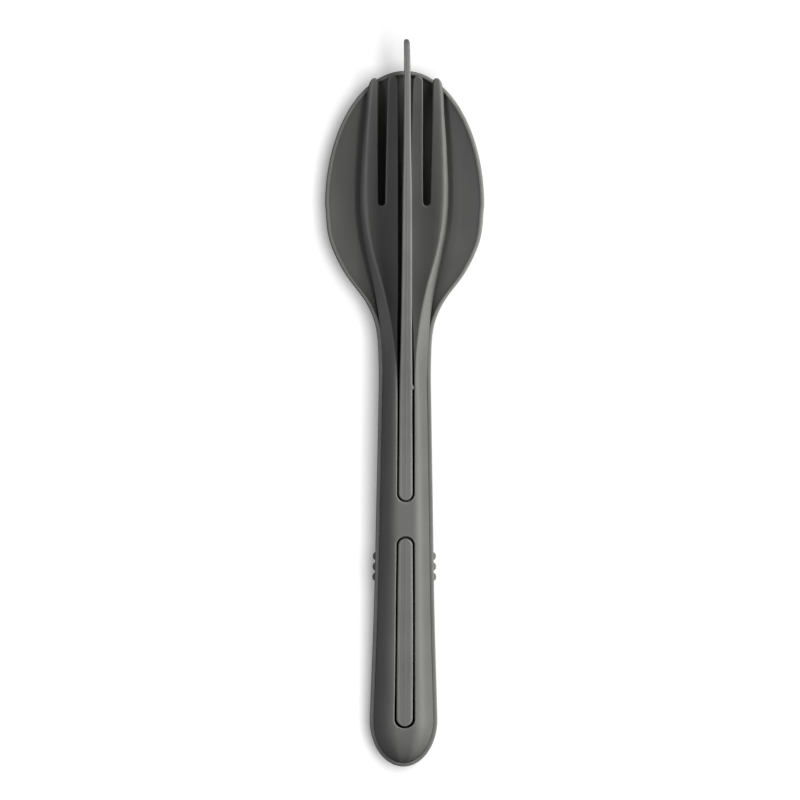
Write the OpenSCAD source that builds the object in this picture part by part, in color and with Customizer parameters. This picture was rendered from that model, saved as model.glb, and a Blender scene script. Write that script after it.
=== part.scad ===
// Picnic cutlery: a spoon, a fork and a knife that nest and click together.
//
// X is across the set, +Y points from the handle to the bowl and the knife's tip, and Z is up.
// The set rests on z = 0, on the underside of the bowl and of the spoon's handle end.
// Each piece is worked out from curves along Y, and a curve is a smooth line through a few points.

/* [Spoon] */
// Y of the front of the bowl
bowl_front = 95.3; // [94:0.1:96]
// Half the width of the bowl at its widest
bowl_half = 22.8; // [21:0.1:24]
// Depth of the bowl under its lip
bowl_depth = 9.75; // [9.7:0.05:9.85]
// Thickness of the spoon's wall
spoon_wall = 1.6; // [1.3:0.1:1.7]
// Height of the lip that runs round the bowl and the handle
lip_height = 0.9; // [0.6:0.1:1]
// Width of the lip round the bowl
bowl_lip = 1.3; // [1:0.1:1.5]
// How far each grip rib stands out
rib_proud = 0.7; // [0.4:0.1:0.9]
// Distance between the grip ribs
rib_pitch = 2.95; // [2.6:0.05:3.2]

/* [Fork] */
// Y of the tips of the two outer tines
outer_tip = 93.1; // [92:0.1:93.6]
// Y of the tips of the two inner tines
inner_tip = 93.8; // [92.5:0.1:93.8]
// Distance from the middle of the fork to the middle of a side gap
gap_x = 6.45; // [6.3:0.05:6.6]
// Thickness of the palm and the tines
fork_thick = 3; // [2.6:0.1:3.2]
// Wall of the handle's domed shell
dome_wall = 1.9; // [1.6:0.1:2.2]
// Height of the dome above the spoon's lip
dome_rise = 6; // [5.5:0.1:6.5]
// Room between the fork's edge and the inside of the spoon's lip
side_room = 0.2; // [0.15:0.05:0.3]

/* [Knife] */
// Y of the knife's tip
knife_tip = 104; // [102:0.1:106]
// Height of the blade's back above the ground
blade_top = 25.5; // [23:0.1:28]
// Room between the knife and the floor of the spoon
floor_room = 0.45; // [0.3:0.05:0.6]
// Length of one serration on the cutting edge
tooth = 2.4; // [2:0.1:2.6]
// Depth of a serration
tooth_depth = 0.5; // [0.3:0.1:0.7]

/* [Hidden] */

grey = [0.31, 0.31, 0.305];

// A smooth line through points [y, value], listed with y falling.
function slope(p, i) =
    let (a = max(i - 1, 0), b = min(i + 1, len(p) - 1)) (p[b][1] - p[a][1]) / (p[b][0] - p[a][0]);
function segment(p, y, i = 0) = i >= len(p) - 2 || y >= p[i + 1][0] ? i : segment(p, y, i + 1);
function curve(p, y) =
    let (
        i = segment(p, y),
        h = p[i + 1][0] - p[i][0],
        t = min(max((y - p[i][0]) / h, 0), 1)
    )
    p[i][1] * (1 + 2 * t) * pow(1 - t, 2) + p[i + 1][1] * t * t * (3 - 2 * t)
    + h * (slope(p, i) * t * pow(1 - t, 2) - slope(p, i + 1) * t * t * (1 - t));

// A quarter ellipse: 1 up to d = 0, then falling to 0 at d = 1.
function rounded(d) = sqrt(max(0, 1 - pow(max(d, 0), 2)));
// A soft step from 0 at a to 1 at b.
function soft(a, b, y) = let (t = min(max((y - a) / (b - a), 0), 1)) t * t * (3 - 2 * t);

// Rows from a to b, all but the last: even, crowding together at a, or crowding at b.
function even(a, b, n) = [for (i = [0:n - 1]) a + (b - a) * i / n];
function from_crowd(a, b, n) = [for (i = [0:n - 1]) a + (b - a) * (1 - cos(90 * i / n))];
function to_crowd(a, b, n) = [for (i = [0:n - 1]) a + (b - a) * sin(90 * i / n)];

// ---- Shape of the nested set ----

// The bowl's front half is half an ellipse from bowl_wide_y, and so is the handle's end from end_y.
bowl_wide_y = 57;
end_y = -90.5;
end_long = 13.5;
lip_shows = 1.15;

lip_z_points = [[96, 11.6], [75, 10.7], [55, 10.5], [35, 11], [18, 12.3], [5, 13.2],
    [-20, 13], [-60, 11], [-104, 7.6]];
function lip_z(y) = curve(lip_z_points, y);

side_points = [[bowl_wide_y, bowl_half], [47, 21.6], [38, 17.55], [29, 11.1], [22, 8.3],
    [12, 7.5], [0, 7.55], [-30, 8.1], [-60, 8.7], [end_y, 9.7]];
function bowl_end(y) = rounded((y - bowl_wide_y) / (bowl_front - bowl_wide_y));
function handle_end(y, long) = rounded((end_y - y) / long);
function spoon_half(y, inset) =
    y > bowl_wide_y ? (bowl_half - inset) * bowl_end(y)
    : (curve(side_points, y) - inset) * handle_end(y, end_long);

// ---- Spoon ----

deep_y = 52;
depth_points = [[deep_y, bowl_depth], [42, 8.7], [32, 7.1], [22, 5.8], [10, 5.4],
    [-20, 5.9], [-60, 7], [-82, 8], [end_y, 8.05]];
spoon_across = 9;
rib_y = -46.5;
rib_half = 1.1;
tip_row = 0.03;

// The lip is wider on the bowl, and on the handle it only just clears the fork.
function lip_width(y) =
    let (on_bowl = soft(10, 34, y)) bowl_lip * on_bowl + (lip_shows - side_room) * (1 - on_bowl);
function spoon_depth(y) =
    y > deep_y ? bowl_depth * pow(1 - pow((y - deep_y) / (bowl_front - deep_y), 2.3), 0.75)
    : curve(depth_points, y) * pow(handle_end(y, end_long), 0.8);
function spoon_floor(y) = lip_z(y) - lip_height - spoon_depth(y) + spoon_wall;

// Height share at s, from 0 in the middle to 1 at the lip: a bowl, or a channel on the handle.
function hollow(s, y) =
    let (on_bowl = soft(8, 40, y), a = min(abs(s), 1))
    on_bowl * pow(a, 2.1) + (1 - on_bowl) * (1 - sqrt(max(0, 1 - pow(a, 2.6))));
function rib(y) =
    max([for (k = [-1:1])
        rib_proud * sqrt(max(0, 1 - pow((y - rib_y - k * rib_pitch) / rib_half, 2)))]);

// A row at y on the outside lies nearer the middle of the spoon by inset on the inside.
function drawn_in(y, inset) =
    y > bowl_wide_y ? y - inset * (y - bowl_wide_y) / (bowl_front - bowl_wide_y)
    : y < end_y ? y + inset * (end_y - y) / end_long : y;

spoon_rows = concat(
    from_crowd(bowl_front - tip_row, bowl_wide_y, 15),
    even(bowl_wide_y, 20, 15),
    even(20, -40, 14),
    even(-40, -53, 27),
    even(-53, end_y, 9),
    to_crowd(end_y, end_y - end_long + tip_row, 9),
    [end_y - end_long + tip_row]
);

// Joins an outer and an inner row of points at every station into one closed shell.
module shell(rings) {
    n = len(rings[0]);
    m = len(rings);
    half = n / 2;
    walls = [for (i = [0:m - 2], j = [0:n - 1])
        let (a = i * n + j, b = i * n + (j + 1) % n)
        each [[a, b + n, b], [a, a + n, b + n]]];
    ends = [for (j = [0:half - 2], start = [0, (m - 1) * n])
        let (a = start + j, b = start + n - 1 - j)
        each start == 0 ? [[a, a + 1, b], [a + 1, b - 1, b]] : [[a, b, a + 1], [a + 1, b, b - 1]]];
    polyhedron([for (r = rings) each r], concat(walls, ends));
}

function spoon_ring(y) =
    let (
        lip = lip_width(y),
        top = lip_z(y),
        half = spoon_half(y, 0),
        depth = spoon_depth(y),
        inner_y = drawn_in(y, lip),
        inner_half = spoon_half(y, lip),
        bevel = 0.3 * half / (half + 1),
        bulge = rib(y)
    )
    concat(
        [[-half, y, top - bevel]],
        [for (k = [-spoon_across:spoon_across])
            let (s = sin(90 * k / spoon_across), edge = pow(abs(s), 6))
            [s * half + sign(s) * edge * bulge, y, top - lip_height - depth * (1 - hollow(s, y))]],
        [[half, y, top - bevel], [half - bevel, y, top]],
        [for (k = [spoon_across:-1:-spoon_across])
            let (s = sin(90 * k / spoon_across), deep = (depth + lip_height - spoon_wall))
            [s * inner_half, inner_y, top - max(deep, 0) * (1 - hollow(s, y))]],
        [[bevel - half, y, top]]
    );

module spoon() {
    color(grey)
        difference() {
            shell([for (y = spoon_rows) spoon_ring(y)]);
            // The flats that it rests on
            translate([-bowl_half, -110, -5])
                cube([2 * bowl_half, 220, 5]);
        }
}

// ---- Fork ----

head_points = [[93.8, 10], [90, 10.8], [84, 11.2], [73, 12.1], [61, 12.7], [52, 12.3],
    [42, 10.6], [32, 8.5], [20, 6.9], [8, 6.3], [0, 6.4], [-30, 6.95], [-60, 7.55], [end_y, 8.55]];
// The ridge between the dished palm and the rounded shoulder
ridge_points = [[93.8, 9.3], [88, 9.9], [80, 10.4], [62, 11], [50, 10.4], [42, 8.8], [34, 6.4],
    [24, 4.2], [14, 3], [0, 2.9], [-30, 3], [-60, 3.2], [end_y, 3.4]];
palm_z_points = [[94, 13.9], [88, 12.3], [80, 10.1], [68, 7.6], [55, 6.6], [44, 7.3], [34, 9.4],
    [26, 12], [18, 15.2], [10, 18.1], [4, 19.2], [-4, 19.2]];
dish_points = [[94, 1.2], [80, 1.8], [60, 2.6], [46, 2.6], [34, 2.2], [24, 1.3], [14, 0.5], [6, 0]];
slot_points = [[93.8, 2.15], [86, 2], [72, 1.8], [56, 1.7], [40, 1.7], [30, 1.85], [24, 2.1],
    [14, 2.3], [4, 2.42], [-25, 2.53], [-40, 2.6], [-56, 2.73], [-73, 2.8], [end_y, 2.95]];
gap_root = 56.8;
gap_round = 1.05;
gap_half_points = [[93.8, 1.5], [87, 1.4], [gap_root + gap_round, gap_round]];

tip_round = 1.7;
// Share of the thickness that is lost towards the tips, and of the dish that the underside follows
tip_thinner = 0.33;
dish_below = 0.9;
slot_front_end = -28;
slot_back_start = -37.8;
slot_back_end = -92.7;
slot_round = 2.5;
fork_long = end_long - lip_shows - 0.1;
skirt_deep = 1.6;
// Share of the skirt's depth that is left at the handle's end
skirt_left = 0.25;
skirt_draft = 0.5;
side_wall = 1.4;
edge_wall = 0.6;
edge_below_lip = 0.1;
// The shoulders at the neck fall away like a bevel that steepens: this share of the fall is straight.
bevel_share = 0.55;
// The dome: how far its flat reaches from the middle, and how late and how fully it turns down
dome_flat = 2;
dome_power = 2.3;
dome_full = 0.93;
// Each half has four columns on the inner tine, and then six out to the edge.
column_share = 0.51;
shoulder_steps = 3;

function fork_half(y) = curve(head_points, y) * handle_end(y, fork_long);
function ridge_x(y) = curve(ridge_points, y) * handle_end(y, fork_long);
function dish(y) = y > 6 ? curve(dish_points, y) : 0;
// Height of the palm beside the centre slot, and of the flat top of the handle
function palm_z(y) =
    y > 4 ? curve(palm_z_points, y) : lip_z(y) + dome_rise * handle_end(y, fork_long);
function on_head(y) = soft(0, 34, y);
function thick(y) = fork_thick * (1 - tip_thinner * soft(60, 94, y));

// Half the width of the centre slot: open at the tines, with round ends, and closed at the bridge.
function slot_half(y) =
    curve(slot_points, y)
    * (y > slot_front_end ? rounded((slot_front_end + slot_round - y) / slot_round)
    : y > slot_back_start || y < slot_back_end ? 0
    : rounded((y - slot_back_start + slot_round) / slot_round)
        * rounded((slot_back_end + slot_round - y) / slot_round));
function slot_open(y) = y > slot_front_end || (y <= slot_back_start && y > slot_back_end);

function under_z(x, y) =
    let (
        to_ridge = min(abs(x) / max(ridge_x(y), 1), 1),
        head = palm_z(y) - thick(y) + dish_below * dish(y) * pow(to_ridge, 2),
        skirt = lip_z(y) - skirt_deep * (skirt_left + (1 - skirt_left) * handle_end(y, fork_long)),
        inside = max(palm_z(y) - dome_wall, skirt),
        handle = skirt + (inside - skirt) * rounded(abs(x) / max(fork_half(y) - side_wall, 0.1))
    )
    handle + (head - handle) * on_head(y);
function edge_z(y) =
    let (handle = lip_z(y) - edge_below_lip, head = under_z(fork_half(y), y) + edge_wall)
    handle + (head - handle) * on_head(y);
// Share of the fall from the ridge at d = 0 to the edge at d = 1: a bevel at the neck, and a quarter
// ellipse on the head.
function shoulder(d, y) =
    let (bevel = 1 - bevel_share * d - (1 - bevel_share) * d * d)
    bevel + (rounded(d) - bevel) * soft(26, 60, y);
function head_z(x, y) =
    let (
        ridge = ridge_x(y),
        high = palm_z(y) + dish(y),
        out = (abs(x) - ridge) / max(fork_half(y) - ridge, 0.01)
    )
    out <= 0 ? palm_z(y) + dish(y) * pow(x / max(ridge, 0.01), 2)
    : edge_z(y) + (high - edge_z(y)) * shoulder(min(out, 1), y);
function dome_z(x, y) =
    let (
        flat = dome_flat * handle_end(y, fork_long),
        out = min(max(abs(x) - flat, 0) / max(fork_half(y) - flat, 0.01), 1)
    )
    edge_z(y) + (palm_z(y) - edge_z(y)) * pow(1 - pow(out, dome_power), dome_full);
function top_z(x, y) =
    let (dome = dome_z(x, y))
    dome + (head_z(x, y) - dome) * soft(-4, 18, y);

// Where the columns of one half lie, before the tines' tips are rounded.
function inner_columns(y) =
    let (a = slot_half(y), on_tine = y > gap_root,
        b = on_tine ? gap_x - gap_half(y) : a + column_share * (ridge_x(y) - a))
    [for (k = [0:3]) a + (b - a) * k / 3];
function outer_columns(y) =
    let (slot = slot_half(y), ridge = ridge_x(y), half = fork_half(y),
        a = y > gap_root ? gap_x + gap_half(y) : slot + column_share * (ridge - slot))
    concat([a, (a + ridge) / 2],
        [for (k = [0:shoulder_steps]) ridge + (half - ridge) * sin(90 * k / shoulder_steps)]);
function gap_half(y) =
    curve(gap_half_points, y) * rounded((gap_root + gap_round - y) / gap_round);
function tapered(columns, y) =
    let (middle = (columns[0] + columns[len(columns) - 1]) / 2,
        keep = rounded((y - inner_tip + tip_round) / tip_round))
    [for (x = columns) middle + (x - middle) * keep];

fork_rows = concat(
    from_crowd(inner_tip, inner_tip - tip_round, 4),
    even(inner_tip - tip_round, gap_root + gap_round, 11),
    to_crowd(gap_root + gap_round, gap_root, 4),
    even(gap_root, slot_front_end + slot_round, 30),
    to_crowd(slot_front_end + slot_round, slot_front_end, 4),
    even(slot_front_end, slot_back_start, 3),
    from_crowd(slot_back_start, slot_back_start - slot_round, 4),
    even(slot_back_start - slot_round, slot_back_end + slot_round, 12),
    to_crowd(slot_back_end + slot_round, slot_back_end, 4),
    to_crowd(slot_back_end, end_y - fork_long, 8),
    [end_y - fork_long]
);

// One row of the fork as [x, y] from left to right. The outer tines end a little further back.
function fork_row(y) =
    let (
        shorter = (outer_tip - gap_root) / (inner_tip - gap_root),
        outer_y = y > gap_root ? gap_root + (y - gap_root) * shorter : y,
        inner = [for (x = tapered(inner_columns(y), y)) [x, y]],
        outer = [for (x = tapered(outer_columns(y), y)) [x, outer_y]],
        right = concat(inner, outer),
        n = len(right)
    )
    concat([for (k = [n - 1:-1:0]) [-right[k][0], right[k][1]]], right);

module fork_body() {
    grid = [for (y = fork_rows) fork_row(y)];
    m = len(grid);
    n = len(grid[0]);
    side_gap = [5, n - 7];
    middle = n / 2 - 1;
    closed_up = 0.002;

    // Columns that meet share one point, as they do at a tip and at the end of a slot.
    function column(i, k) =
        k > 0 && grid[i][k][0] - grid[i][k - 1][0] < closed_up ? column(i, k - 1) : k;
    function top(i, k) = i * n + column(i, k);
    function low(i, k) = m * n + top(i, k);
    function open(i, k) =
        k == middle ? slot_open(fork_rows[i])
        : (k == side_gap[0] || k == side_gap[1]) && fork_rows[i] > gap_root;
    function full(i, k) = i >= 0 && i < m - 1 && k >= 0 && k < n - 1 && !open(i, k);
    // A face of four corners as triangles, leaving out those that have closed up.
    function face(a, b, c, d) =
        [for (t = [[a, b, c], [a, c, d]]) if (t[0] != t[1] && t[1] != t[2] && t[0] != t[2]) t];

    skins = [for (i = [0:m - 2], k = [0:n - 2]) if (full(i, k))
        each concat(
            face(top(i, k), top(i, k + 1), top(i + 1, k + 1), top(i + 1, k)),
            face(low(i, k), low(i + 1, k), low(i + 1, k + 1), low(i, k + 1)))];
    side_walls = [for (i = [0:m - 2], k = [0:n - 1]) if (full(i, k) != full(i, k - 1))
        each full(i, k)
            ? face(top(i, k), top(i + 1, k), low(i + 1, k), low(i, k))
            : face(top(i, k), low(i, k), low(i + 1, k), top(i + 1, k))];
    end_walls = [for (i = [0:m - 1], k = [0:n - 2]) if (full(i, k) != full(i - 1, k))
        each full(i, k)
            ? face(top(i, k), low(i, k), low(i, k + 1), top(i, k + 1))
            : face(top(i, k), top(i, k + 1), low(i, k + 1), low(i, k))];

    // The underside draws in towards the bottom of the skirt.
    upper = [for (r = grid) each [for (p = r) [p[0], p[1], top_z(p[0], p[1])]]];
    lower = [for (r = grid) each [for (p = r)
        let (half = max(fork_half(p[1]), 0.1))
        [p[0] - sign(p[0]) * skirt_draft * min(half / 5, 1) * pow(abs(p[0]) / half, 4), p[1],
            under_z(p[0], p[1])]]];
    polyhedron(concat(upper, lower), concat(skins, side_walls, end_walls));
}

module fork() {
    color(grey)
        fork_body();
}

// ---- Knife ----

knife_half_points = [[104, 0.85], [94, 0.93], [86, 0.98], [72, 1.08], [58, 1.3], [30, 1.5], [15, 1.65],
    [6, 1.8], [-16, 1.93], [-40, 2.05], [-56, 2.2], [-75, 2.3], [-92, 2.3]];
back_z_points = [[knife_tip, 19], [102.5, 21.4], [98, 23.8], [91, 25.1], [78, blade_top],
    [60, blade_top], [45, 24.9], [30, 23.2], [15, 20.9], [2, 19.3], [-8, 19.1]];
edge_z_points = [[knife_tip, 17], [100, 15.2], [95, 13], [88, 9.9], [80, 6.9], [70, 4.5],
    [60, 3.4], [48, 3.2], [30, 3.2]];
knife_back = -92.1;
knife_corner = 0.4;
back_below = 0.05;
edge_half = 0.22;
handle_chamfer = 0.3;
// Where the lower part of each side ends, as a share of the height
low_side = 0.12;
blade_low_side = 0.62;
// The back of the blade is thicker than its middle by this share.
blade_taper = 0.3;
notch_front = -26.7;
notch_back = -39.1;
notch_room = 0.5;
back_inset = 1.3;
back_slope = 0.8;
nub_y = 4.7;
nub_half = 0.7;
nub_proud = 0.3;
teeth_from = 20;
teeth_to = 82;
tooth_steps = 4;
step = 0.01;

function knife_half(y) = curve(knife_half_points, y);
function nub(y) = nub_proud * sqrt(max(0, 1 - pow((y - nub_y) / nub_half, 2)));
function back_z(y) =
    y > -8 ? curve(back_z_points, y)
    : y < notch_front && y > notch_back ? palm_z(y) - dome_wall - notch_room : palm_z(y) - back_below;
function serration(y) =
    y > teeth_from && y < teeth_to ? tooth_depth * abs(sin(180 * (y - teeth_from) / tooth)) : 0;
function knife_edge_z(y) =
    max(y > 30 ? curve(edge_z_points, y) : 0, spoon_floor(min(y, 90)) + floor_room) + serration(y);
function is_blade(y) = soft(-6, 16, y);

tooth_rows = floor((teeth_to - teeth_from) / tooth) * tooth_steps;
teeth_end = teeth_from + tooth_rows / tooth_steps * tooth;
knife_rows = concat(
    from_crowd(knife_tip, 98, 5),
    even(98, teeth_end, 8),
    even(teeth_end, teeth_from, tooth_rows),
    even(teeth_from, nub_y + nub_half, 6),
    even(nub_y + nub_half, nub_y - nub_half, 6),
    even(nub_y - nub_half, notch_front, 10),
    [notch_front, notch_front - step],
    even(notch_front - 2 * step, notch_back + step, 3),
    [notch_back + step, notch_back],
    even(notch_back - 0.5, knife_back + back_inset, 12),
    [knife_back + back_inset, knife_back + back_inset / 3, knife_back]
);

// A section of the knife: its edge, its sides and its narrow flat back.
function knife_ring(y) =
    let (
        end = max(knife_back + back_inset - y, 0),
        half = knife_half(y) - back_slope * end,
        back = back_z(y),
        edge = knife_edge_z(y) + back_slope / 2 * end,
        low_half = (half - handle_chamfer) * (1 - is_blade(y)) + edge_half * is_blade(y),
        mid_half = half * (1 - blade_taper * is_blade(y)),
        mid = edge + (back - edge) * (low_side + (blade_low_side - low_side) * is_blade(y)),
        right = half + nub(y)
    )
    [[-low_half, y, edge], [low_half, y, edge], [mid_half, y, mid], [right, y, back - knife_corner],
        [half - knife_corner, y, back], [knife_corner - half, y, back],
        [-half, y, back - knife_corner], [-mid_half, y, mid]];

module knife() {
    rings = [for (y = knife_rows) knife_ring(y)];
    n = len(rings[0]);
    m = len(rings);
    last = (m - 1) * n;
    walls = [for (i = [0:m - 2], j = [0:n - 1])
        let (a = i * n + j, b = i * n + (j + 1) % n)
        each [[a, b + n, b], [a, a + n, b + n]]];
    ends = [for (j = [1:n - 2]) each [[0, j, j + 1], [last, last + j + 1, last + j]]];
    color(grey)
        polyhedron([for (r = rings) each r], concat(walls, ends));
}

spoon();
fork();
knife();
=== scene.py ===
import bpy
import numpy as np
from mathutils import Matrix, Vector


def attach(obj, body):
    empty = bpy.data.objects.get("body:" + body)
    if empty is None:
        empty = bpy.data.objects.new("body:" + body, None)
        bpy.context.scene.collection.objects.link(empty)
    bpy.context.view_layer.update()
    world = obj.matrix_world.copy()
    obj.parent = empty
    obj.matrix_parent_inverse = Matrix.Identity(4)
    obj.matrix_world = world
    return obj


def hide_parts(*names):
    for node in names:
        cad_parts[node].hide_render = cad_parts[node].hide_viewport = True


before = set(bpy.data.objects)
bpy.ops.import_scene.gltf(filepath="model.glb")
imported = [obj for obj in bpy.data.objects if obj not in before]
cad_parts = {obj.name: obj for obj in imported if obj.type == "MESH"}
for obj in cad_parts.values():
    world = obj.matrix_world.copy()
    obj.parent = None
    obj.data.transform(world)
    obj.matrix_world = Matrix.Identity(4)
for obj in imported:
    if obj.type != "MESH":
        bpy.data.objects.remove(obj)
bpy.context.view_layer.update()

# ---------------------------------------------------------------------------------------------
# The view: a long lens high above the set, a little to its left, with the blade's tip at the top.
# Lengths in this script are millimetres along the set's own axes until a mesh or a light is made.
# ---------------------------------------------------------------------------------------------
MM = 0.001
LENS_FROM_SET = 2000.0
FRAME_WIDE = 228.8
SENSOR = 36.0
LEAN_LEFT = np.radians(2.7)
ROLL = np.radians(0.09)
AIM = (-1.36, 1.12, 12.0)


def look(obj, place, aim, up=(0, 1, 0)):
    """Puts obj at place: its -Z axis runs towards aim, and its Y axis as near to up as it can."""
    back = (Vector(place) - Vector(aim)).normalized()
    right = Vector(up).cross(back).normalized()
    turn = Matrix((right, back.cross(right), back)).transposed()
    obj.matrix_world = Matrix.Translation(Vector(place) * MM) @ turn.to_4x4()


camera_data = bpy.data.cameras.new("camera")
camera = bpy.data.objects.new("camera", camera_data)
bpy.context.scene.collection.objects.link(camera)
camera_data.sensor_width = SENSOR
camera_data.lens = SENSOR * LENS_FROM_SET / FRAME_WIDE
camera_data.clip_end = 20
over = Vector((-np.sin(LEAN_LEFT), 0, np.cos(LEAN_LEFT))) * LENS_FROM_SET
look(camera, Vector(AIM) + over, AIM, up=(-np.sin(ROLL), np.cos(ROLL), 0))
bpy.context.scene.camera = camera
bpy.context.scene.view_settings.view_transform = "Standard"

# ---------------------------------------------------------------------------------------------
# Spoon: one thin injection moulding in matte dark grey plastic. An egg-shaped bowl runs into a
# narrow neck and a handle that is an open channel. A rounded lip goes all the way round, and
# three small ribs stand on each side of the handle to grip it by when the set is pulled apart.
# ---------------------------------------------------------------------------------------------
SPOON_GREY, SPOON_FLOW = (0.074, 0.074, 0.0725), (260, 40, 260)
BOWL_FRONT, BOWL_WIDE_Y, BOWL_HALF, BOWL_DEPTH, DEEP_Y = 95.3, 57.0, 22.8, 9.75, 52.0
END_Y, END_LONG, LIP_SHOWS, SIDE_ROOM = -90.5, 13.46, 1.15, 0.05
SPOON_WALL, LIP_HEIGHT, BOWL_LIP = 1.6, 0.9, 1.3
BOWL_LIP_ROUND, HANDLE_LIP_ROUND = (0.62, 0.52), (0.42, 0.08)
FRONT_POWER, FRONT_FULL, BACK_FULL = 2.3, 0.75, 0.8
BOWL_POWER, CHANNEL_POWER, NECK_FROM, NECK_TO = 2.1, 2.6, 8, 40
RIB_Y, RIB_PITCH, RIB_HALF, RIB_PROUD, RIB_GATHER, RIBS_REACH = -46.5, 2.95, 1.1, 0.7, 6, 5.5
LIP_Z = [(96, 11.6), (75, 10.7), (55, 10.5), (35, 11), (18, 12.3), (5, 13.2),
         (-20, 13), (-60, 11), (-104, 7.6)]
SIDE = [(BOWL_WIDE_Y, BOWL_HALF), (47, 21.6), (38, 17.55), (29, 11.1), (22, 8.3), (12, 7.5),
        (0, 7.55), (-30, 8.1), (-60, 8.7), (END_Y, 9.7)]
DEPTH = [(DEEP_Y, BOWL_DEPTH), (42, 8.7), (32, 7.1), (22, 5.8), (10, 5.4), (-20, 5.9),
         (-60, 7), (-82, 8), (END_Y, 8.05)]


def curve(points, y):
    """Smooth line through (y, value) points listed with y falling: a cubic between two points,
    whose slope at each point is the slope from the point before to the point after."""
    ys, vs = np.array(points[::-1], float).T
    before = np.maximum(np.arange(len(ys)) - 1, 0)
    after = np.minimum(np.arange(len(ys)) + 1, len(ys) - 1)
    slope = (vs[after] - vs[before]) / (ys[after] - ys[before])
    i = np.clip(np.searchsorted(ys, y, side="right") - 1, 0, len(ys) - 2)
    h = ys[i + 1] - ys[i]
    t = np.clip((y - ys[i]) / h, 0, 1)
    value = vs[i] * (1 + 2 * t) * (1 - t) ** 2 + vs[i + 1] * t * t * (3 - 2 * t)
    return value + h * (slope[i] * t * (1 - t) ** 2 - slope[i + 1] * t * t * (1 - t))


def rounded(d):
    """A quarter circle: 1 up to d = 0, then the square root of 1 - d^2, down to 0 at d = 1."""
    return np.sqrt(np.maximum(0, 1 - np.maximum(d, 0) ** 2))


def soft(a, b, y):
    """A soft step: 0 up to a, 1 from b on, and 3t^2 - 2t^3 between them."""
    t = np.clip((y - a) / (b - a), 0, 1)
    return t * t * (3 - 2 * t)


def even(a, b, n):
    """n rows from a towards b, all the same distance apart, without b itself."""
    return a + (b - a) * np.arange(n) / n


def from_crowd(a, b, n):
    """n rows from a towards b that crowd together at a, as 1 - cos does, without b itself."""
    return a + (b - a) * (1 - np.cos(np.pi / 2 * np.arange(n) / n))


def to_crowd(a, b, n):
    """n rows from a towards b that crowd together at b, as sin does, without b itself."""
    return a + (b - a) * np.sin(np.pi / 2 * np.arange(n) / n)


def bowl_end(y):
    """Share of its full width that the bowl has at y: a quarter circle towards the front."""
    return rounded((y - BOWL_WIDE_Y) / (BOWL_FRONT - BOWL_WIDE_Y))


def handle_end(y, long):
    """Share of its full width that a handle has at y: a quarter circle over its last stretch."""
    return rounded((END_Y - y) / long)


def spoon_half(y, inset):
    """Half the spoon's width with its outline drawn in by inset: half ellipses at both ends."""
    side = (curve(SIDE, y) - inset) * handle_end(y, END_LONG)
    return np.where(y > BOWL_WIDE_Y, (BOWL_HALF - inset) * bowl_end(y), side)


def drawn_in(y, inset):
    """Where a row at y lies once the outline is drawn in by inset: past the full width it moves
    back by the same share of inset as it has gone of the way to the end."""
    front = y - inset * (y - BOWL_WIDE_Y) / (BOWL_FRONT - BOWL_WIDE_Y)
    back = y + inset * (END_Y - y) / END_LONG
    return np.where(y > BOWL_WIDE_Y, front, np.where(y < END_Y, back, y))


def lip_z(y):
    """Height of the lip's top."""
    return curve(LIP_Z, y)


def blend(on_handle, on_bowl, y):
    """One value on the handle and another on the bowl, with a soft step at the neck."""
    return on_handle + (on_bowl - on_handle) * soft(10, 34, y)


def lip_width(y):
    """Width of the lip: narrower on the handle, where the fork lies against its inner side."""
    return blend(LIP_SHOWS - SIDE_ROOM, BOWL_LIP, y)


def lip_radii(y):
    """The outer and inner radius of the lip's edges: nearly a full round on the bowl, and a crisp
    inner edge on the handle, where the fork lies against it."""
    return [blend(handle, bowl, y) for handle, bowl in zip(HANDLE_LIP_ROUND, BOWL_LIP_ROUND)]


def spoon_depth(y, more=0.0):
    """Depth under the lip, with more added. It dies away to the bowl's front as
    (1 - t^FRONT_POWER)^FRONT_FULL, and at the handle's end as a power of the quarter circle."""
    t = np.clip((y - DEEP_Y) / (BOWL_FRONT - DEEP_Y), 0, 1)
    bowl = (BOWL_DEPTH + more) * (1 - t ** FRONT_POWER) ** FRONT_FULL
    handle = (curve(DEPTH, y) + more) * handle_end(y, END_LONG) ** BACK_FULL
    return np.where(y > DEEP_Y, bowl, handle)


def spoon_floor(y):
    """Height of the inner side on the middle line."""
    return lip_z(y) - LIP_HEIGHT - spoon_depth(y) + SPOON_WALL


def hollow(s, y):
    """Share of the height at s from the middle, 0, to the lip, 1: a power curve in the bowl and a
    squarish quarter ellipse in the channel, one fading into the other at the neck."""
    bowl = np.abs(s) ** BOWL_POWER
    channel = 1 - np.sqrt(np.maximum(0, 1 - np.abs(s) ** CHANNEL_POWER))
    return channel + (bowl - channel) * soft(NECK_FROM, NECK_TO, y)


def rib(y):
    """How far the grip ribs stand out at y: three half circles in a row."""
    from_middle = (y[..., None] - RIB_Y - RIB_PITCH * np.arange(-1, 2)) / RIB_HALF
    return RIB_PROUD * rounded(np.abs(from_middle)).max(-1)


def put(name, points, triangles, wear):
    """A mesh object from points in millimetres and triangles. Points in one place become one, and
    triangles that close up are left out. wear is kept on the points, 1 at a rubbed edge."""
    _, first, same = np.unique(np.round(points, 5), axis=0, return_index=True, return_inverse=True)
    tri = same.reshape(-1)[triangles]
    tri = tri[(tri[:, 0] != tri[:, 1]) & (tri[:, 1] != tri[:, 2]) & (tri[:, 2] != tri[:, 0])]
    mesh = bpy.data.meshes.new(name)
    mesh.from_pydata(points[first] * MM, [], tri.tolist())
    mesh.polygons.foreach_set("use_smooth", np.ones(len(tri), bool))
    mesh.attributes.new("wear", "FLOAT", "POINT").data.foreach_set("value", wear[first])
    mesh.update()
    obj = bpy.data.objects.new(name, mesh)
    bpy.context.scene.collection.objects.link(obj)
    return obj


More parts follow.
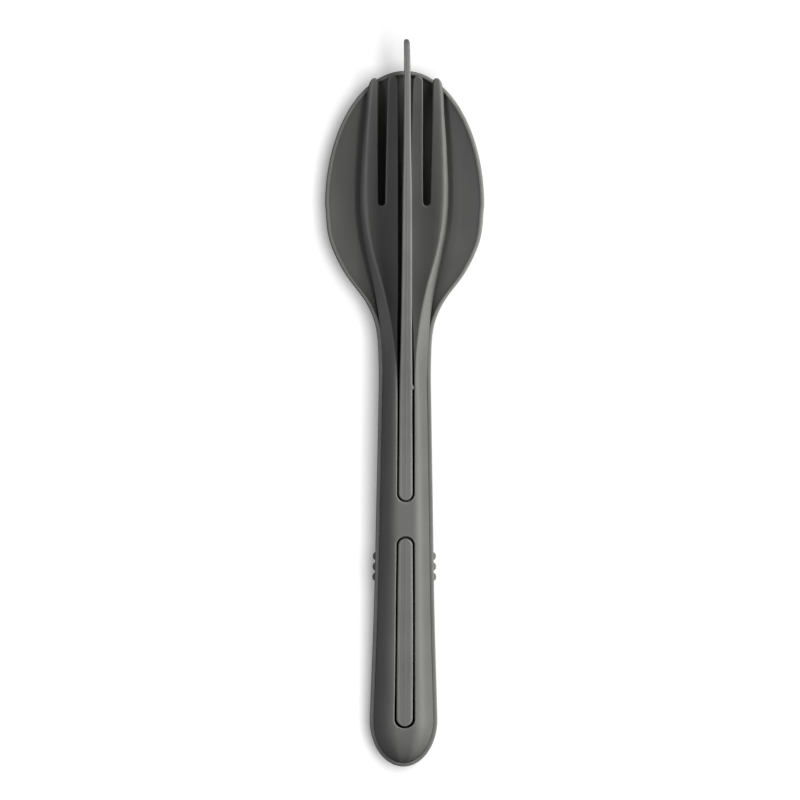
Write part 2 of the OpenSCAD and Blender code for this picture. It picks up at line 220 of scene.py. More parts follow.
def halves(quads):
    """Each quad as two triangles."""
    return np.concatenate([quads[:, [0, 1, 2]], quads[:, [0, 2, 3]]])


def tube(rings, keep=None):
    """Triangles over a grid of closed rings. keep says which cells between two rings are there."""
    at = np.arange(rings[..., 0].size).reshape(rings.shape[:2])
    nxt = np.roll(at, -1, axis=1)
    quads = np.stack([at[:-1], at[1:], nxt[1:], nxt[:-1]], -1)
    return halves(quads.reshape(-1, 4) if keep is None else quads[keep])


class Wire:
    """One output of a node, so that sums on values read as sums: each adds its Math node."""

    def __init__(self, tree, socket):
        self.tree, self.socket = tree, socket

    def add(self, kind, settings=(), out=0, **sockets):
        """A new node of this kind: its settings first, then its sockets, set or linked by name.
        A key is a socket's identifier, or its name with _ for each space."""
        node = self.tree.nodes.new("ShaderNode" + kind)
        for key, value in dict(settings).items():
            setattr(node, key, value)
        for key, value in sockets.items():
            names = {s.identifier: s for s in node.inputs}
            target = names.get(key) or node.inputs[key.replace("_", " ")]
            if isinstance(value, Wire):
                self.tree.links.new(value.socket, target)
            else:
                target.default_value = value
        return Wire(self.tree, node.outputs[out] if node.outputs else None)

    def sum(self, operation, a, b):
        return self.add("Math", {"operation": operation}, Value=a, Value_001=b)

    def __add__(self, other):
        return self.sum("ADD", self, other)

    def __mul__(self, other):
        return self.sum("MULTIPLY", self, other)

    def __sub__(self, other):
        return self.sum("SUBTRACT", self, other)

    def __rsub__(self, other):
        return self.sum("SUBTRACT", other, self)

    __radd__ = __add__
    __rmul__ = __mul__


def bare_nodes(owner):
    """Clears the nodes of a material or a world, and gives the Wire to add new ones from."""
    owner.use_nodes = True
    owner.node_tree.nodes.clear()
    return Wire(owner.node_tree, None)


def moulded(name, grey, flow):
    """Matte moulded plastic: a spark-eroded grain, soft streaks along the way the plastic flowed,
    cloudy changes of tone, and edges that handling has rubbed a little lighter and smoother. flow
    says how many streaks go to a metre each way, as the scales do for the other patterns."""
    material = bpy.data.materials.new(name)
    start = bare_nodes(material)
    place = start.add("TexCoord", out="Object")
    along = start.add("Mapping", Vector=place, Scale=flow)
    cloud = start.add("TexNoise", out="Fac", Vector=place, Scale=70.0, Detail=3.0, Roughness=0.55)
    streak = start.add("TexNoise", out="Fac", Vector=along, Scale=1.0, Detail=2.0, Roughness=0.5)
    grain = start.add("TexNoise", out="Fac", Vector=place, Scale=3200.0, Detail=3.0, Roughness=0.6)
    pits = start.add("TexVoronoi", {"feature": "F1"}, out="Distance", Vector=place, Scale=2300.0)
    wear = start.add("Attribute", {"attribute_name": "wear"}, out="Fac")

    # The body's tone drifts by up to a sixth either way. A rubbed edge goes part of the way to a
    # tone nearly twice as light, and the clouds break it up.
    dark, light, rubbed = (tuple(np.array(grey) * k) + (1,) for k in (0.84, 1.16, (1.9, 1.9, 1.88)))
    tone = 0.5 + (cloud - 0.5) * 0.9 + (streak - 0.5) * 0.7 + (grain - 0.5) * 0.5
    body = start.add("Mix", {"data_type": "RGBA"}, out=2,
                     Factor_Float=tone, A_Color=dark, B_Color=light)
    rub = wear * (0.35 + cloud * 0.9)
    colour = start.add("Mix", {"data_type": "RGBA"}, out=2,
                       Factor_Float=rub * 0.4, A_Color=body, B_Color=rubbed)
    rough = 0.52 + (cloud - 0.5) * 0.14 + (grain - 0.5) * 0.12 - rub * 0.08
    skin = start.add("Bump", Strength=0.2, Distance=0.00006, Height=grain * 0.7 + pits * 0.5)
    finish = start.add("BsdfPrincipled", Base_Color=colour, Roughness=rough, Normal=skin,
                       Specular_IOR_Level=0.2)
    start.add("OutputMaterial", Surface=finish)
    return material


# Across the spoon at a row: the outer skin from left to right, over the right lip, the inner skin
# back from right to left, and over the left lip.
across = np.sin(np.pi / 2 * np.linspace(-1, 1, 53))
rib_rows_from, rib_rows_to = RIB_Y + RIBS_REACH, RIB_Y - RIBS_REACH
spoon_rows = np.concatenate([
    from_crowd(BOWL_FRONT, BOWL_WIDE_Y, 72), even(BOWL_WIDE_Y, rib_rows_from, 120),
    even(rib_rows_from, rib_rows_to, 84), even(rib_rows_to, END_Y, 44),
    to_crowd(END_Y, END_Y - END_LONG, 40), [END_Y - END_LONG]])[:, None]
lip, lip_top = lip_width(spoon_rows), lip_z(spoon_rows)
outer_r, inner_r = lip_radii(spoon_rows)
zero = np.zeros((len(spoon_rows), len(across)))

outer_z = lip_top - LIP_HEIGHT - spoon_depth(spoon_rows) * (1 - hollow(across, spoon_rows))
bulge = np.sign(across) * np.abs(across) ** RIB_GATHER * rib(spoon_rows[:, 0])[:, None]
outer_x = across * spoon_half(spoon_rows, 0) + bulge
outer = np.stack([outer_x, spoon_rows + zero, np.maximum(outer_z, 0)], -1)

inner_depth = spoon_depth(spoon_rows, LIP_HEIGHT - SPOON_WALL - inner_r)
inner_z = lip_top - inner_r - inner_depth * (1 - hollow(across, spoon_rows))
inner_x = across * spoon_half(spoon_rows, lip)
inner = np.stack([inner_x, drawn_in(spoon_rows, lip) + zero, inner_z], -1)

quarter = np.linspace(0, np.pi / 2, 6)[None]
lip_in = np.concatenate([outer_r * (1 - np.cos(quarter)),
                         lip - inner_r + inner_r * np.sin(quarter)], 1)
lip_down = np.concatenate([outer_r * (1 - np.sin(quarter)), inner_r * (1 - np.cos(quarter))], 1)
right_lip = np.stack([spoon_half(spoon_rows, lip_in), drawn_in(spoon_rows, lip_in),
                      lip_top - lip_down], -1)
left_lip = right_lip * (-1, 1, 1)
spoon_rings = np.concatenate([outer, right_lip, inner[:, ::-1], left_lip[:, ::-1]], 1)

lip_wear = np.sin(np.pi * np.linspace(0, 1, lip_in.shape[1]))
rib_wear = 0.8 * rib(spoon_rows[:, 0])[:, None] / RIB_PROUD * (np.abs(across) > 0.99)
spoon_wear = np.concatenate([rib_wear, zero[:, :1] + lip_wear, zero, zero[:, :1] + lip_wear], 1)

spoon = put("spoon_moulding", spoon_rings.reshape(-1, 3), tube(spoon_rings), spoon_wear.reshape(-1))
spoon.data.materials.append(moulded("spoon_plastic", SPOON_GREY, SPOON_FLOW))
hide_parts("spoon")
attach(spoon, "spoon")

# ---------------------------------------------------------------------------------------------
# Fork: one moulding in the same plastic. Four tines and a dished head lie in the spoon's bowl. A
# ridge runs between the dish and the rounded shoulders, and the shoulders widen at the neck into
# the domed handle, which closes the spoon's channel and has two slots for the knife to stand in.
# ---------------------------------------------------------------------------------------------
FORK_GREY, FORK_FLOW = (0.074, 0.074, 0.0725), (240, 34, 240)
OUTER_TIP, INNER_TIP, TIP_ROUND = 93.1, 93.8, 1.8
GAP_X, GAP_ROOT, GAP_ROUND = 6.45, 56.8, 1.05
FORK_THICK, TIP_THINNING, DISH_BELOW = 3.0, 0.33, 0.9
DOME_WALL, DOME_RISE, DOME_FLAT, DOME_POWER, DOME_FULL = 1.9, 6.0, 2.0, 2.3, 0.93
SLOT_FRONT_END, SLOT_BACK_START, SLOT_BACK_END, SLOT_ROUND = -28.0, -37.8, -92.7, 2.5
FORK_LONG = END_LONG - LIP_SHOWS - 0.1
SKIRT_DEEP, SKIRT_AT_END, SKIRT_DRAFT, SIDE_WALL, EDGE_WALL = 1.6, 0.25, 0.5, 1.4, 0.6
EDGE_R, UNDER_R, EDGE_OVER_LIP, THINNEST = 0.32, 0.4, 0.12, 0.05
BEVEL, BEVEL_SOFT = 0.8, 0.14
BEVEL_REST = 1 - BEVEL * (np.hypot(1, BEVEL_SOFT) - BEVEL_SOFT)
RIDGE_WEAR, RIDGE_WORN, EDGE_WORN, UNDER_WEAR = 0.7, 0.5, 0.7, 0.3
HEAD = [(93.8, 10), (90, 10.8), (84, 11.2), (73, 12.1), (61, 12.7), (52, 12.3), (42, 10.6),
        (32, 8.5), (20, 6.9), (8, 6.3), (0, 6.4), (-30, 6.95), (-60, 7.55), (END_Y, 8.55)]
RIDGE = [(93.8, 9.3), (88, 9.9), (80, 10.4), (62, 11), (50, 10.4), (42, 8.8), (34, 6.4),
         (24, 4.2), (14, 3), (0, 2.9), (-30, 3), (-60, 3.2), (END_Y, 3.4)]
PALM_Z = [(94, 13.9), (88, 12.3), (80, 10.1), (68, 7.6), (55, 6.6), (44, 7.3), (34, 9.4),
          (26, 12), (18, 15.2), (10, 18.1), (4, 19.2), (-4, 19.2)]
DISH = [(94, 1.2), (80, 1.8), (60, 2.6), (46, 2.6), (34, 2.2), (24, 1.3), (14, 0.5), (6, 0)]
SLOT = [(93.8, 2.15), (86, 2), (72, 1.8), (56, 1.7), (40, 1.7), (30, 1.85), (24, 2.1), (14, 2.3),
        (4, 2.42), (-25, 2.53), (-40, 2.6), (-56, 2.73), (-73, 2.8), (END_Y, 2.95)]
GAP = [(93.8, 1.5), (87, 1.4), (57.85, 1.05)]


def fork_half(y):
    """Half the fork's width."""
    return curve(HEAD, y) * handle_end(y, FORK_LONG)


def ridge_x(y):
    """How far the ridge between the palm and the shoulder lies from the middle line."""
    return curve(RIDGE, y) * handle_end(y, FORK_LONG)


def dish(y):
    """How much higher than the middle of the palm its ridges stand."""
    return np.where(y > 6, curve(DISH, y), 0)


def palm_z(y):
    """Height beside the centre slot: the palm, then the flat of the dome, closing in at the end."""
    return np.where(y > 4, curve(PALM_Z, y), lip_z(y) + DOME_RISE * handle_end(y, FORK_LONG))


def slot_half(y):
    """Half the width of the two centre slots: open at the tines, 0 at the bridge, round ends."""
    front = rounded((SLOT_FRONT_END + SLOT_ROUND - y) / SLOT_ROUND)
    back = (rounded((y - SLOT_BACK_START + SLOT_ROUND) / SLOT_ROUND)
            * rounded((SLOT_BACK_END + SLOT_ROUND - y) / SLOT_ROUND))
    closed = (y <= SLOT_FRONT_END) & (y > SLOT_BACK_START) | (y < SLOT_BACK_END)
    return curve(SLOT, y) * np.where(y > SLOT_FRONT_END, front, np.where(closed, 0, back))


def under_z(x, y):
    """The underside. On the head it follows the dished palm at the wall's thickness, which thins
    towards the tips. On the handle it is a quarter ellipse that comes down to a level skirt."""
    wall = FORK_THICK * (1 - TIP_THINNING * soft(60, 94, y))
    to_ridge = np.minimum(np.abs(x) / np.maximum(ridge_x(y), 1), 1)
    head = palm_z(y) - wall + DISH_BELOW * dish(y) * to_ridge ** 2
    skirt = lip_z(y) - SKIRT_DEEP * (SKIRT_AT_END
                                     + (1 - SKIRT_AT_END) * handle_end(y, FORK_LONG))
    inside = np.maximum(palm_z(y) - DOME_WALL, skirt)
    to_side = np.abs(x) / np.maximum(fork_half(y) - SIDE_WALL, 0.1)
    handle = skirt + (inside - skirt) * rounded(to_side)
    return handle + (head - handle) * soft(0, 34, y)


def way_out(x, a, b):
    """How far from a to b the distance from the middle line has got, 0 to 1."""
    return np.clip((np.abs(x) - a) / np.maximum(b - a, 0.01), 0, 1)


def top_z(x, y):
    """The upper side, where t runs from 0 to 1 over the part that falls to the outer edge. On the
    head: a parabola across the palm up to the ridge, then a quarter ellipse over the shoulder. At
    the neck the shoulder is a bevel, 1 - BEVEL (hypot(t, BEVEL_SOFT) - BEVEL_SOFT), less the rest
    as t^2. On the handle: a dome with a flat top, (1 - t^DOME_POWER)^DOME_FULL."""
    half, ridge, high = fork_half(y), ridge_x(y), palm_z(y) + dish(y)
    edge = lip_z(y) + EDGE_OVER_LIP
    edge = edge + (under_z(half, y) + EDGE_WALL - edge) * soft(0, 34, y)
    palm = palm_z(y) + dish(y) * (x / np.maximum(ridge, 0.01)) ** 2
    t = way_out(x, ridge, half)
    bevel = 1 - BEVEL * (np.hypot(t, BEVEL_SOFT) - BEVEL_SOFT) - BEVEL_REST * t ** 2
    shoulder = bevel + (rounded(t) - bevel) * soft(26, 60, y)
    head = np.where(np.abs(x) <= ridge, palm, edge + (high - edge) * shoulder)
    t = way_out(x, DOME_FLAT * handle_end(y, FORK_LONG), half)
    dome = edge + (palm_z(y) - edge) * (1 - t ** DOME_POWER) ** DOME_FULL
    return dome + (head - dome) * soft(-4, 18, y)


def slot_away(x, y):
    """Distance from a point to the nearest slot or gap. Past the start of a slot's round end, the
    step along the slot is stretched until the end is a circle as wide as the slot."""
    from_middle, from_gap, wide = np.abs(x), np.abs(np.abs(x) - GAP_X), curve(SLOT, y)
    past_front = np.maximum(SLOT_FRONT_END + SLOT_ROUND - y, 0)
    front = np.hypot(from_middle, past_front * wide / SLOT_ROUND) - wide
    past_back = np.maximum(y - SLOT_BACK_START + SLOT_ROUND, SLOT_BACK_END + SLOT_ROUND - y)
    back = np.hypot(from_middle, np.maximum(past_back, 0) * wide / SLOT_ROUND) - wide
    gap, past_gap = curve(GAP, y), np.maximum(GAP_ROOT + GAP_ROUND - y, 0)
    side = np.hypot(from_gap, past_gap * gap / GAP_ROUND) - gap
    return np.minimum(np.minimum(front, back), side)


def fall(away, radius):
    """How far a rounded edge has dropped at this distance from the edge: a quarter circle."""
    d = radius - np.clip(away, 0, radius)
    return radius - np.sqrt(radius ** 2 - d ** 2)


def strip(a, b, n, round_b=True):
    """Columns from a to b: five that crowd together in the rounded edge at a, as 1 - cos does, n
    the same distance apart, and five more in the edge at b where that is rounded too."""
    width = np.minimum(EDGE_R, (b - a) / 3)
    crowd = width * (1 - np.cos(np.pi / 2 * np.arange(5) / 5))
    first, last = a + width, b - width if round_b else b
    inside = first + (last - first) * np.linspace(0, 1, n)[None]
    return np.concatenate([a + crowd, inside] + ([b - crowd[:, ::-1]] if round_b else []), 1)


tips, gap_round, fork_end = INNER_TIP - TIP_ROUND, GAP_ROOT + GAP_ROUND, END_Y - FORK_LONG
front_round = SLOT_FRONT_END + SLOT_ROUND
back_round, last_round = SLOT_BACK_START - SLOT_ROUND, SLOT_BACK_END + SLOT_ROUND
fork_rows = np.concatenate([
    from_crowd(INNER_TIP, tips, 14), even(tips, 58.4, 70), even(58.4, gap_round, 4),
    to_crowd(gap_round, GAP_ROOT, 14), from_crowd(GAP_ROOT, GAP_ROOT - EDGE_R, 5),
    even(GAP_ROOT - EDGE_R, front_round, 150), to_crowd(front_round, SLOT_FRONT_END, 16),
    from_crowd(SLOT_FRONT_END, SLOT_FRONT_END - EDGE_R, 5),
    even(SLOT_FRONT_END - EDGE_R, SLOT_BACK_START + EDGE_R, 12),
    to_crowd(SLOT_BACK_START + EDGE_R, SLOT_BACK_START, 5),
    from_crowd(SLOT_BACK_START, back_round, 16), even(back_round, last_round, 70),
    to_crowd(last_round, SLOT_BACK_END, 16), from_crowd(SLOT_BACK_END, SLOT_BACK_END - EDGE_R, 5),
    to_crowd(SLOT_BACK_END - EDGE_R, fork_end, 34), [fork_end]])[:, None]

# The right half of the fork is an inner and an outer strip of columns: on the head two tines with
# a gap between them, and behind it the two parts of the palm and the shoulder, which touch.
on_tine = fork_rows > GAP_ROOT
slot_edge, ridge, side = slot_half(fork_rows), ridge_x(fork_rows), fork_half(fork_rows)
ridge_column = np.maximum(ridge, np.minimum(slot_edge + 1.1, side * 0.7))
split = slot_edge + 0.51 * (ridge_column - slot_edge)
gap_half = curve(GAP, fork_rows) * rounded((gap_round - fork_rows) / GAP_ROUND)
inner_strip = strip(slot_edge, np.where(on_tine, GAP_X - gap_half, split), 7)
shoulder = np.sin(np.linspace(0, np.pi / 2, 17))[None, 1:]
outer_strip = np.concatenate([
    strip(np.where(on_tine, GAP_X + gap_half, split), ridge_column, 6, round_b=False),
    ridge_column + (side - ridge_column) * shoulder], 1)
shorter = (OUTER_TIP - GAP_ROOT) / (INNER_TIP - GAP_ROOT)
outer_y = np.where(on_tine, GAP_ROOT + (fork_rows - GAP_ROOT) * shorter, fork_rows)
past_tip = fork_rows - INNER_TIP + TIP_ROUND
tip_half = rounded(past_tip / TIP_ROUND)


def narrowed(columns):
    """A tine's columns drawn to its middle line as a quarter circle, as its round tip closes."""
    middle = (columns[:, :1] + columns[:, -1:]) / 2
    return middle + (columns - middle) * tip_half


def tip_away(columns):
    """Distance from each column of a tine to the round outline of its tip, far before the tip."""
    half = (columns[:, -1:] - columns[:, :1]) / 2
    middle = (columns[:, -1:] + columns[:, :1]) / 2
    away = half - np.hypot((columns - middle) * tip_half, past_tip * half / TIP_ROUND)
    return np.where(past_tip > 0, away, 9.0)


def both_sides(points):
    """The right half's points with their mirror image before them."""
    return np.concatenate([points[:, ::-1] * (-1, 1, 1), points], 1)


fork_x = np.concatenate([narrowed(inner_strip), narrowed(outer_strip)], 1)
fork_y = np.concatenate([np.broadcast_to(fork_rows, inner_strip.shape),
                         np.broadcast_to(outer_y, outer_strip.shape)], 1)
away = np.minimum(slot_away(fork_x, fork_y),
                  np.concatenate([tip_away(inner_strip), tip_away(outer_strip)], 1))
edge_away = np.maximum(fork_half(fork_y) - fork_x, 0)
over = top_z(fork_x, fork_y) - fall(away, EDGE_R)
below = under_z(fork_x, fork_y) + fall(np.minimum(away, edge_away), UNDER_R)
over = np.maximum(over, below + THINNEST)
reach = np.maximum(fork_half(fork_y), 0.1)
below_x = fork_x - SKIRT_DRAFT * np.minimum(reach / 5, 1) * (fork_x / reach) ** 4
upper = both_sides(np.stack([fork_x, fork_y, over], -1))
lower = both_sides(np.stack([below_x, fork_y, below], -1))

# The cells between the columns on each side of a slot or a gap are left open.
middle, tine_columns = upper.shape[1] // 2 - 1, inner_strip.shape[1]
starts = fork_rows[:-1, 0]
is_open = np.zeros((upper.shape[0] - 1, upper.shape[1] - 1), bool)
is_open[:, middle] = ((starts > SLOT_FRONT_END)
                      | (starts <= SLOT_BACK_START) & (starts > SLOT_BACK_END))
is_open[:, [middle - tine_columns, middle + tine_columns]] = (starts > GAP_ROOT)[:, None]


def plate(upper, lower, is_open):
    """Triangles of a solid between an upper and a lower grid of points, with upright walls round
    its edge and round every open cell."""
    top = np.arange(upper[..., 0].size).reshape(upper.shape[:2])
    low = top + top.size
    cell = ~is_open
    there = np.pad(cell, 1)
    left, right = there[1:-1, :-1], there[1:-1, 1:]
    ahead, behind = there[:-1, 1:-1], there[1:, 1:-1]
    return halves(np.concatenate([
        np.stack([top[:-1, :-1], top[1:, :-1], top[1:, 1:], top[:-1, 1:]], -1)[cell],
        np.stack([low[:-1, :-1], low[:-1, 1:], low[1:, 1:], low[1:, :-1]], -1)[cell],
        np.stack([top[:-1], low[:-1], low[1:], top[1:]], -1)[right & ~left],
        np.stack([top[:-1], top[1:], low[1:], low[:-1]], -1)[left & ~right],
        np.stack([top[:, :-1], top[:, 1:], low[:, 1:], low[:, :-1]], -1)[behind & ~ahead],
        np.stack([top[:, :-1], low[:, :-1], low[:, 1:], top[:, 1:]], -1)[ahead & ~behind]]))


def near(distance, reach):
    """1 at distance 0, fading to 0 at reach."""
    return 1 - soft(0, reach, distance)


from_ridge = np.abs(fork_x - ridge_x(fork_y))
ridge_wear = near(from_ridge, RIDGE_WORN) * np.minimum(dish(fork_y), 1) * RIDGE_WEAR
right_wear = np.maximum(near(away, EDGE_WORN), ridge_wear)
upper_wear = np.concatenate([right_wear[:, ::-1], right_wear], 1).reshape(-1)
fork = put("fork_moulding", np.concatenate([upper.reshape(-1, 3), lower.reshape(-1, 3)]),
           plate(upper, lower, is_open), np.concatenate([upper_wear, upper_wear * UNDER_WEAR]))
fork.data.materials.append(moulded("fork_plastic", FORK_GREY, FORK_FLOW))
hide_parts("fork")
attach(fork, "fork")

# ---------------------------------------------------------------------------------------------
# Knife: one moulding in the same plastic, standing on edge with its back up. The blade tapers to
# a serrated edge and its back is narrow and flat. The handle is thicker, shows flush in the
# fork's slots, and has a notch in its back that passes under the fork's bridge.
# ---------------------------------------------------------------------------------------------
# The knife's grey is a little lighter than the spoon's and fork's though the plastic is the same:
# painted light, for the extra light that its high back catches.
KNIFE_GREY_PAINTED_LIGHTER, KNIFE_FLOW = (0.080, 0.080, 0.0795), (420, 26, 260)
KNIFE_TIP, TIP_LONG, TIP_Z, BLADE_TOP = 104.0, 1.6, 18.6, 25.5
KNIFE_BACK, BACK_ROUND, BACK_BELOW, FLOOR_ROOM = -92.1, 2.3, 0.05, 0.45
NOTCH_FRONT, NOTCH_BACK, NOTCH_ROUND, NOTCH_ROOM = -27.45, -38.4, 2.0, 0.5
NUB_Y, NUB_HALF, NUB_PROUD, NUB_REACH = 4.7, 0.7, 0.4, 0.9
TEETH_FROM, TEETH_TO, TOOTH, TOOTH_DEPTH = 20.0, 82.4, 2.4, 0.5
SEAM_PROUD, SEAM_HALF, SEAM_ROOM = 0.05, 0.14, 0.06
FOOT_IN, CUT_HALF, FOOT_FLAT, FOOT_CORNER, CORNER = 0.3, 0.2, 0.6, 0.25, 0.42
HANDLE_MID, BLADE_MID, BLADE_SHELF = 0.15, 0.7, 0.72
MID_THINNER, SHELF_THINNER, CUT_WEAR = 0.32, 0.14, 0.6
KNIFE_HALF = [(104, 0.85), (94, 0.93), (86, 0.98), (72, 1.08), (58, 1.3), (30, 1.5), (15, 1.65),
              (6, 1.8), (-16, 1.93), (-40, 2.05), (-56, 2.2), (-75, 2.3), (-92, 2.3)]
BACK_Z = [(KNIFE_TIP, 20.4), (102.5, 21.8), (98, 23.8), (91, 25.1), (78, BLADE_TOP),
          (60, BLADE_TOP), (45, 24.9), (30, 23.2), (15, 20.9), (2, 19.3), (-8, 19.1)]
EDGE_Z = [(KNIFE_TIP, 16.6), (100, 15.2), (95, 13), (88, 9.9), (80, 6.9), (70, 4.5), (60, 3.4),
          (48, 3.2), (30, 3.2)]


def knife_back_z(y):
    """Height of the back: flush with the fork on the handle, and a long arch over the blade."""
    return np.where(y > -8, curve(BACK_Z, y), palm_z(y) - BACK_BELOW)


def knife_edge_z(y):
    """Height of the lower edge: it clears the spoon's floor and the lip at the bowl's front, and
    the serrations are half sine waves along it."""
    arch = np.where(y > 30, curve(EDGE_Z, y), 0)
    edge = np.maximum(arch, spoon_floor(np.minimum(y, 90)) + FLOOR_ROOM)
    teeth = TOOTH_DEPTH * np.abs(np.sin(np.pi * (y - TEETH_FROM) / TOOTH))
    return edge + np.where((y > TEETH_FROM) & (y < TEETH_TO), teeth, 0)


nub_front, nub_back = NUB_Y + NUB_REACH, NUB_Y - NUB_REACH
knife_rows = np.concatenate([
    from_crowd(KNIFE_TIP, KNIFE_TIP - TIP_LONG, 14), even(KNIFE_TIP - TIP_LONG, TEETH_TO, 30),
    even(TEETH_TO, TEETH_FROM, 312), even(TEETH_FROM, nub_front, 16),
    even(nub_front, nub_back, 14), even(nub_back, NOTCH_FRONT + NOTCH_ROUND, 30),
    to_crowd(NOTCH_FRONT + NOTCH_ROUND, NOTCH_FRONT, 14), even(NOTCH_FRONT, NOTCH_BACK, 8),
    from_crowd(NOTCH_BACK, NOTCH_BACK - NOTCH_ROUND, 14),
    even(NOTCH_BACK - NOTCH_ROUND, KNIFE_BACK + BACK_ROUND, 50),
    to_crowd(KNIFE_BACK + BACK_ROUND, KNIFE_BACK, 16), [KNIFE_BACK]])[:, None]
at_tip = rounded((knife_rows - KNIFE_TIP + TIP_LONG) / TIP_LONG)
at_back = rounded((KNIFE_BACK + BACK_ROUND - knife_rows) / BACK_ROUND)
into_notch = np.where(knife_rows > (NOTCH_FRONT + NOTCH_BACK) / 2,
                      rounded((NOTCH_FRONT + NOTCH_ROUND - knife_rows) / NOTCH_ROUND),
                      rounded((knife_rows - NOTCH_BACK + NOTCH_ROUND) / NOTCH_ROUND))
on_blade = soft(-6, 16, knife_rows)

# The heights at a row, from the lower edge by the widest line and the shelf level with the notch's
# floor up to the back, and half the width at each.
back = TIP_Z + (knife_back_z(knife_rows) - SEAM_ROOM - TIP_Z) * at_tip
edge = TIP_Z + (knife_edge_z(knife_rows) - TIP_Z) * at_tip
notch_z = palm_z(knife_rows) - DOME_WALL - NOTCH_ROOM
blade_shelf = edge + BLADE_SHELF * (back - edge)
shelf = notch_z + (blade_shelf - notch_z) * soft(-20, 0, knife_rows)
mid_z = edge + (shelf - edge) * (HANDLE_MID + (BLADE_MID - HANDLE_MID) * on_blade)
body_half = curve(KNIFE_HALF, knife_rows) * at_back * np.sqrt(at_tip)
foot_half = (body_half - FOOT_IN) * (1 - on_blade) + CUT_HALF * on_blade
edge_half = np.clip(foot_half, 0.3 * body_half, 0.9 * body_half)
mid_half = body_half * (1 - MID_THINNER * on_blade)
shelf_half = body_half * (1 - SHELF_THINNER * on_blade)
top_half = body_half * into_notch
corner = np.minimum(CORNER, 0.8 * top_half)
low_corner = np.minimum(FOOT_CORNER, 0.3 * (mid_z - edge))

# Up the right side at a row: the foot and its rounded corner, the side and the shelf, the wall of
# the raised part, its rounded corner, and the back in to the seam on the middle line.
turn = np.linspace(0, np.pi / 2, 7)[None]
steps = np.linspace(0, 1, 6)[None, 1:]
foot_flat = FOOT_FLAT * edge_half
foot_round = foot_flat + (edge_half - foot_flat) * np.sin(turn)
foot_x = np.concatenate([0 * edge, foot_flat, foot_round], 1)
foot_z = np.concatenate([edge, edge, edge + low_corner * (1 - np.cos(turn))], 1)
side_x = np.concatenate([edge_half + (mid_half - edge_half) * steps, shelf_half,
                         np.minimum(top_half, shelf_half)], 1)
side_z = edge + low_corner + (mid_z - edge - low_corner) * steps
side_z = np.concatenate([side_z, shelf, shelf], 1)
wall_x = side_x[:, -1:] + (top_half - side_x[:, -1:]) * steps
wall_z = shelf + (back - corner - shelf) * steps
roll_x = top_half - corner * (1 - np.cos(turn[:, 1:]))
roll_z = back - corner + corner * np.sin(turn[:, 1:])
flat_x = (top_half - corner) * (1 - np.linspace(0, 1, 12)[None, 1:])
seam = SEAM_PROUD * np.exp(-(flat_x / SEAM_HALF) ** 2) * into_notch * at_tip * at_back
raised_x = np.concatenate([wall_x, roll_x, flat_x], 1)
section_x = np.concatenate([foot_x, side_x, raised_x], 1)
section_z = np.concatenate([foot_z, side_z, wall_z, roll_z, back + seam], 1)
section = np.stack([section_x, np.broadcast_to(knife_rows, section_x.shape), section_z], -1)

# The click nub swells only the right wall and its corner, as half a circle along the handle.
columns, raised, flats = section_x.shape[1], raised_x.shape[1], flat_x.shape[1]
nub = NUB_PROUD * rounded(np.abs(knife_rows - NUB_Y) / NUB_HALF)
on_wall = (np.arange(columns) >= columns - raised) & (np.arange(columns) < columns - flats)
click = np.stack([nub * on_wall, 0 * section_x, 0 * section_x], -1)
knife_rings = np.concatenate([section + click, section[:, ::-1] * (-1, 1, 1)], 1)

in_notch = (knife_rows[:-1, 0] <= NOTCH_FRONT) & (knife_rows[:-1, 0] > NOTCH_BACK)
notched = np.arange(columns - raised - 1, columns + raised)
keep = np.ones((len(knife_rows) - 1, 2 * columns), bool)
keep[np.ix_(in_notch, notched)] = False
right_wear = np.zeros(section_x.shape)
right_wear[:, -flats - roll_x.shape[1] - 2:-flats + 2] = 1
right_wear[:, 1:foot_x.shape[1]] = CUT_WEAR * on_blade
knife_wear = np.concatenate([right_wear, right_wear[:, ::-1]], 1)

knife = put("knife_moulding", knife_rings.reshape(-1, 3), tube(knife_rings, keep),
            knife_wear.reshape(-1))
knife.data.materials.append(moulded("knife_plastic", KNIFE_GREY_PAINTED_LIGHTER, KNIFE_FLOW))
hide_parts("knife")
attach(knife, "knife")

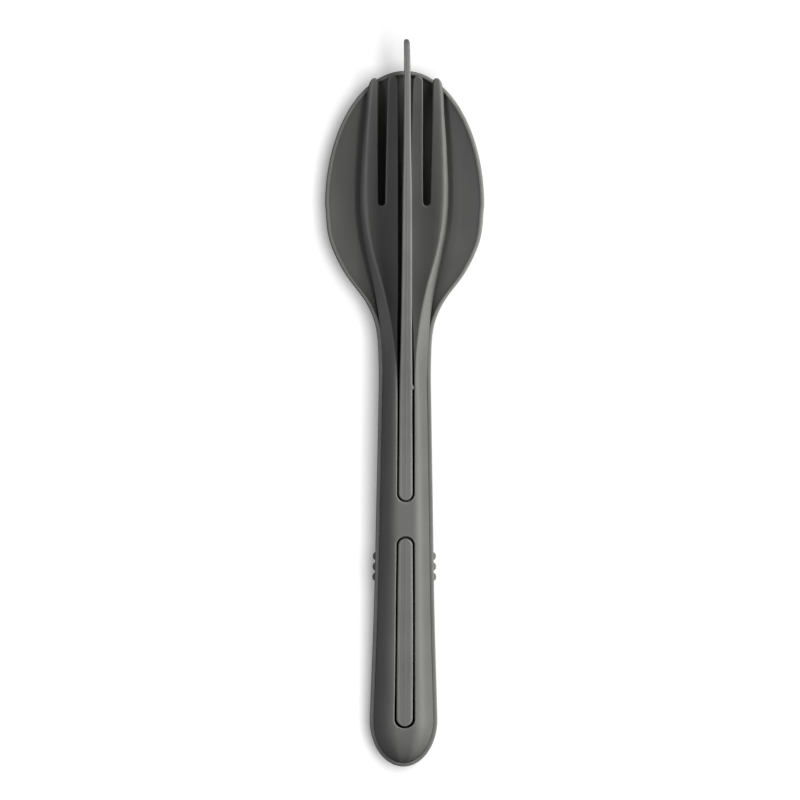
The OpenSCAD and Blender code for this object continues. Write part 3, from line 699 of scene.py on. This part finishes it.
# ---------------------------------------------------------------------------------------------
# The table and the light: a plain white sheet that glows a little, so that the shadow stays pale.
# Four soft boxes light only the set: the key high on the right beyond the tips, one high and one
# low on the right, and a fill high on the left. A fifth one lights only the sheet.
# ---------------------------------------------------------------------------------------------
SHEET_WHITE, SHEET_ROUGH, SHEET_GLOW = (0.92, 0.92, 0.92, 1), 0.9, 0.28
SHEET_HALF, SHEET_DROP, SURROUND = 3000.0, 0.02, 0.125

corners = np.array([(-1, -1, 0), (1, -1, 0), (1, 1, 0), (-1, 1, 0)]) * SHEET_HALF
floor_mesh = bpy.data.meshes.new("floor")
floor_mesh.from_pydata((corners - (0, 0, SHEET_DROP)) * MM, [], [(0, 1, 2, 3)])
floor = bpy.data.objects.new("floor", floor_mesh)
bpy.context.scene.collection.objects.link(floor)
white = bpy.data.materials.new("white_sheet")
start = bare_nodes(white)
start.add("OutputMaterial", Surface=start.add(
    "BsdfPrincipled", Base_Color=SHEET_WHITE, Roughness=SHEET_ROUGH,
    Emission_Color=(1, 1, 1, 1), Emission_Strength=SHEET_GLOW))
floor_mesh.materials.append(white)
floor.visible_diffuse = floor.visible_glossy = False


def light(name, place, size, power, colour, onto):
    """A rectangular soft box in millimetres that shines from place towards the origin, flagged off
    so that it falls only on the objects in onto."""
    data = bpy.data.lights.new(name, "AREA")
    data.shape = "RECTANGLE"
    data.size, data.size_y = size[0] * MM, size[1] * MM
    data.energy, data.color = power, colour
    obj = bpy.data.objects.new(name, data)
    bpy.context.scene.collection.objects.link(obj)
    look(obj, place, (0, 0, 0))
    lit = bpy.data.collections.new(name + "_falls_on")
    for piece in onto:
        lit.objects.link(piece)
    obj.light_linking.receiver_collection = lit


pieces = [spoon, fork, knife]
light("key", (750, 820, 1010), (900, 500), 26.0, (1, 1, 0.97), pieces)
light("high", (750, 0, 1299), (390, 1300), 5.0, (1, 1, 1), pieces)
light("side", (1449, 0, 388), (390, 1300), 42.0, (1, 1, 0.93), pieces)
light("fill", (-750, 0, 1299), (390, 1300), 15.0, (0.97, 0.99, 1), pieces)
light("sheet", (235, 0, 1480), (560, 900), 17.5, (1, 1, 1), [floor])

world = bpy.data.worlds.new("surround")
start = bare_nodes(world)
start.add("OutputWorld", Surface=start.add("Background", Color=(1, 1, 1, 1), Strength=SURROUND))
bpy.context.scene.world = world

bpy.context.view_layer.update()
